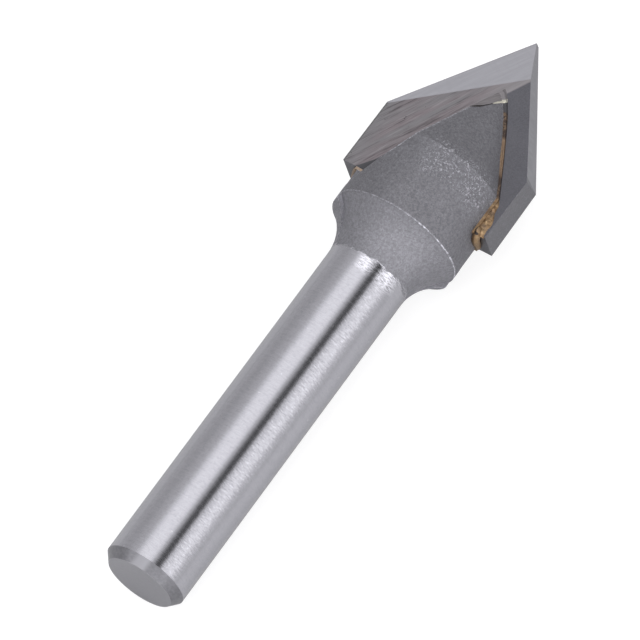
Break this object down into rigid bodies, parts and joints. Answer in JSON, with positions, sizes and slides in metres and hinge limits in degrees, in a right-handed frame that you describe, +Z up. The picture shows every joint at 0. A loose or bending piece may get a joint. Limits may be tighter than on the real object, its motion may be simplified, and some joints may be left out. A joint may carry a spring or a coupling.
{
  "type": "v groove router bit",
  "caption": "Router bit with a round shank, a flared steel head and a brazed carbide plate ground to a V point for cutting V-shaped grooves.",
  "frame": {"origin": "bottom centre of the bounding box of the bit lying on its side: on the floor, midway along its length", "axes": "+X along the bit towards its V point, +Z up, +Y to the left of the point; the tool's axis rises 3.49 degrees from +X, because the bit lies on its head's rim and on the end of its shank, rolled 3 degrees from level wings"},
  "size_m": [0.0504, 0.0126, 0.0105],
  "materials": {
    "steel": "ground shank, fine blasted head",
    "carbide": "ground grey tungsten carbide",
    "braze": "dull golden brazing filler"
  },
  "bodies": {
    "root": {"steel_body": "steel", "carbide_plate": "carbide", "braze_joint": "braze"}
  },
  "joints": []
}
